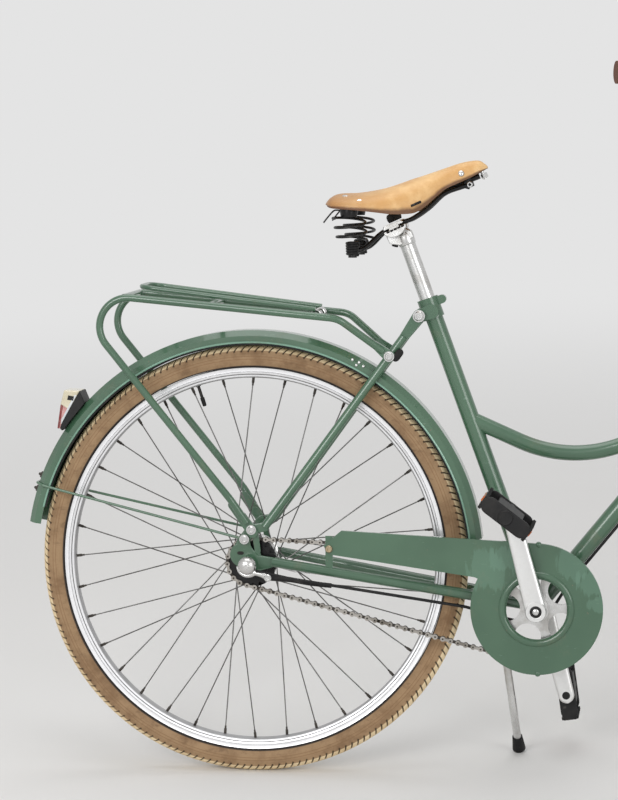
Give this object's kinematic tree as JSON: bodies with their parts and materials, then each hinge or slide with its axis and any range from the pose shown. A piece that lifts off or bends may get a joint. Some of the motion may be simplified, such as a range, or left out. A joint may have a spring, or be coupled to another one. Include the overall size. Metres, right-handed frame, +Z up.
{
  "type": "step-through city bicycle",
  "caption": "Step-through city bicycle with a swan-neck top tube, hub gear, chain guard, rear carrier, mudguards and sprung leather saddle, parked leaning on its side stand.",
  "frame": {"origin": "middle of the bounding box at floor level, with the bicycle leaning on its side stand", "axes": "+X forwards, +Y to the rider's left, +Z up"},
  "size_m": [1.7963, 0.5988, 1.1835],
  "materials": {
    "green_paint": "gloss enamel, scuffed",
    "tan_tyre": "tan rubber, dusty",
    "silver_rim": "polished",
    "bright_steel": "plated",
    "alloy": "satin",
    "chain_steel": "oiled",
    "black_steel": "gloss black",
    "black_plastic": "moulded",
    "black_rubber": "moulded",
    "tan_leather": "worn smooth",
    "brown_grip": "stitched",
    "red_lens": "moulded lens",
    "clear_lens": "moulded lens",
    "lamp_glass": "ribbed lens"
  },
  "bodies": {
    "frame": {"bottom_bracket": "green_paint", "carrier_bridges": "green_paint", "carrier_clip": "green_paint", "carrier_rails": "green_paint", "carrier_springs": "bright_steel", "chain": "chain_steel", "chain_guard": "green_paint", "chain_stays": "green_paint", "coaster_arm": "bright_steel", "down_tube": "green_paint", "dropouts": "green_paint", "gear_cable": "black_plastic", "gear_click_box": "bright_steel", "head_tube": "green_paint", "headset_cups": "bright_steel", "kickstand_bracket": "alloy", "rear_axle": "bright_steel", "rear_mudguard": "green_paint", "rear_mudguard_stays": "green_paint", "saddle_clamp": "alloy", "saddle_cover": "tan_leather", "saddle_frame": "black_steel", "seat_lug": "green_paint", "seat_post": "alloy", "seat_stays": "green_paint", "seat_tube": "green_paint", "tail_lamp_clear_lens": "clear_lens", "tail_lamp_housing": "black_plastic", "tail_lamp_red_lens": "red_lens", "top_tube": "green_paint"},
    "rear_wheel": {"rear_hub": "alloy", "rear_rim": "silver_rim", "rear_spokes": "bright_steel", "rear_sprocket": "black_steel", "rear_tyre": "tan_tyre"},
    "front_wheel": {"front_hub": "alloy", "front_rim": "silver_rim", "front_spokes": "bright_steel", "front_tyre": "tan_tyre"},
    "crank": {"chainring": "alloy", "crank_axle": "bright_steel", "left_crank": "alloy", "pedal_axles": "bright_steel", "right_crank": "alloy"},
    "right_pedal": {"right_pedal": "black_plastic"},
    "left_pedal": {"left_pedal": "black_plastic"},
    "kickstand": {"kickstand_foot": "black_rubber", "kickstand_leg": "alloy"},
    "steering": {"brake_lever": "alloy", "fork": "green_paint", "front_axle": "bright_steel", "front_brake": "alloy", "front_mudguard": "green_paint", "front_mudguard_stays": "green_paint", "gear_shifter": "black_plastic", "grips": "brown_grip", "handlebar": "bright_steel", "head_lamp_lens": "lamp_glass", "head_lamp_shell": "black_plastic", "stem": "alloy"}
  },
  "joints": [
    {"name": "rear_wheel_spin", "type": "hinge", "parent": "frame", "child": "rear_wheel", "pos_m": [-0.52483, -0.09603, 0.35052], "axis": [0, 0.9925, -0.1219], "continuous": true},
    {"name": "steering_turn", "type": "hinge", "parent": "frame", "child": "steering", "pos_m": [0.30796, -0.04192, 0.79117], "axis": [-0.3665, 0.1134, 0.9235], "range_deg": [-60, 60]},
    {"name": "front_wheel_spin", "type": "hinge", "parent": "steering", "child": "front_wheel", "pos_m": [0.54517, -0.09603, 0.35052], "axis": [0, 0.9925, -0.1219], "continuous": true},
    {"name": "crank_spin", "type": "hinge", "parent": "frame", "child": "crank", "pos_m": [-0.05783, -0.10444, 0.28204], "axis": [0, 0.9925, -0.1219], "continuous": true},
    {"name": "right_pedal_spin", "type": "hinge", "parent": "crank", "child": "right_pedal", "pos_m": [-0.10068, -0.17769, 0.45678], "axis": [0, 0.9925, -0.1219], "continuous": true},
    {"name": "left_pedal_spin", "type": "hinge", "parent": "crank", "child": "left_pedal", "pos_m": [-0.01498, -0.03119, 0.1073], "axis": [0, 0.9925, -0.1219], "continuous": true},
    {"name": "kickstand_fold", "type": "hinge", "parent": "frame", "child": "kickstand", "pos_m": [-0.12283, -0.07746, 0.25555], "axis": [0, 0.9925, -0.1219], "range_deg": [0, 92]}
  ]
}
